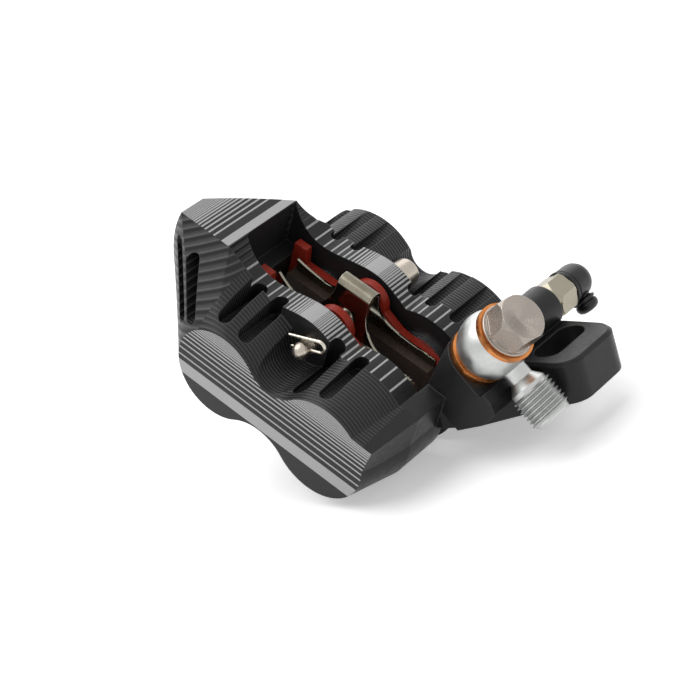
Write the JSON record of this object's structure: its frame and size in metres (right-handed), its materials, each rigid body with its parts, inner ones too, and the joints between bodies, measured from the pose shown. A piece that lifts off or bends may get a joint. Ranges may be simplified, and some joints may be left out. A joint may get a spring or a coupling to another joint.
{
  "type": "bicycle disc brake caliper",
  "caption": "Post-mount hydraulic disc brake caliper for a bicycle, with opposed pistons, sprung pads on a pin, a turning hose fitting and a bleed nipple.",
  "frame": {"origin": "midway between the two post slots, on the plane that their undersides rest on", "axes": "+X from the rear post to the front post, +Y across the rotor towards the posts, +Z along the post bolts, away from the posts"},
  "size_m": [0.0947, 0.0704, 0.0623],
  "materials": {
    "body_black": "black anodised, satin, with thin light grey stripes",
    "cap_aluminium": "black anodised, satin",
    "seal_rubber": "matt black",
    "piston_steel": "ground",
    "pad_plate": "red-brown paint, satin",
    "friction": "pressed compound, matt",
    "spring_steel": "dark bronze with bright edges",
    "pin_steel": "satin",
    "clip_steel": "bright wire",
    "polished_steel": "polished",
    "bolt_steel": "satin",
    "copper": "copper, satin",
    "nipple_brass": "nickel plated",
    "cap_rubber": "black, satin"
  },
  "bodies": {
    "caliper": {"caliper_body": "body_black", "small_bore_cap": "cap_aluminium", "large_bore_cap": "cap_aluminium", "small_cap_seal": "seal_rubber", "large_cap_seal": "seal_rubber", "small_seal_front": "seal_rubber", "small_seal_back": "seal_rubber", "large_seal_front": "seal_rubber", "large_seal_back": "seal_rubber", "pad_pin": "pin_steel", "pin_clip": "clip_steel", "pad_spring": "spring_steel", "banjo_bolt": "bolt_steel", "banjo_washer_inner": "copper", "banjo_washer_outer": "copper"},
    "large_piston_front": {"large_piston_front": "piston_steel"},
    "small_piston_front": {"small_piston_front": "piston_steel"},
    "large_piston_back": {"large_piston_back": "piston_steel"},
    "small_piston_back": {"small_piston_back": "piston_steel"},
    "front_pad": {"pad_plate_front": "pad_plate", "friction_block_front": "friction"},
    "back_pad": {"pad_plate_back": "pad_plate", "friction_block_back": "friction"},
    "hose_fitting": {"banjo_fitting": "polished_steel"},
    "nipple": {"bleed_nipple": "nipple_brass"},
    "nipple_cap": {"bleed_cap": "cap_rubber"}
  },
  "joints": [
    {"name": "front_pad_slide", "type": "slide", "parent": "caliper", "child": "front_pad", "axis": [0, 1, 0], "range_m": [0, 0.0012], "deforming": ["pad_spring"]},
    {"name": "back_pad_slide", "type": "slide", "parent": "caliper", "child": "back_pad", "axis": [0, -1, 0], "range_m": [0, 0.0012], "deforming": ["pad_spring"]},
    {"name": "large_piston_front_slide", "type": "slide", "parent": "caliper", "child": "large_piston_front", "axis": [0, 1, 0], "range_m": [0, 0.0012]},
    {"name": "small_piston_front_slide", "type": "slide", "parent": "caliper", "child": "small_piston_front", "axis": [0, 1, 0], "range_m": [0, 0.0012]},
    {"name": "large_piston_back_slide", "type": "slide", "parent": "caliper", "child": "large_piston_back", "axis": [0, -1, 0], "range_m": [0, 0.0012]},
    {"name": "small_piston_back_slide", "type": "slide", "parent": "caliper", "child": "small_piston_back", "axis": [0, -1, 0], "range_m": [0, 0.0012]},
    {"name": "hose_fitting_swivel", "type": "hinge", "parent": "caliper", "child": "hose_fitting", "pos_m": [0.03343, -0.0165, 0.01729], "axis": [0.829, 0, 0.5592], "range_deg": [-70, 0]},
    {"name": "nipple_turn", "type": "hinge", "parent": "caliper", "child": "nipple", "pos_m": [0.028, 0.0088, 0.0128], "axis": [0, 1, 0], "range_deg": [0, 180]},
    {"name": "nipple_cap_pull", "type": "slide", "parent": "nipple", "child": "nipple_cap", "axis": [0, 1, 0], "range_m": [0, 0.012]}
  ],
  "couplings": [
    {"joint": "back_pad_slide", "follows": "front_pad_slide", "ratio": 1},
    {"joint": "large_piston_front_slide", "follows": "front_pad_slide", "ratio": 1},
    {"joint": "small_piston_front_slide", "follows": "front_pad_slide", "ratio": 1},
    {"joint": "large_piston_back_slide", "follows": "front_pad_slide", "ratio": 1},
    {"joint": "small_piston_back_slide", "follows": "front_pad_slide", "ratio": 1}
  ]
}
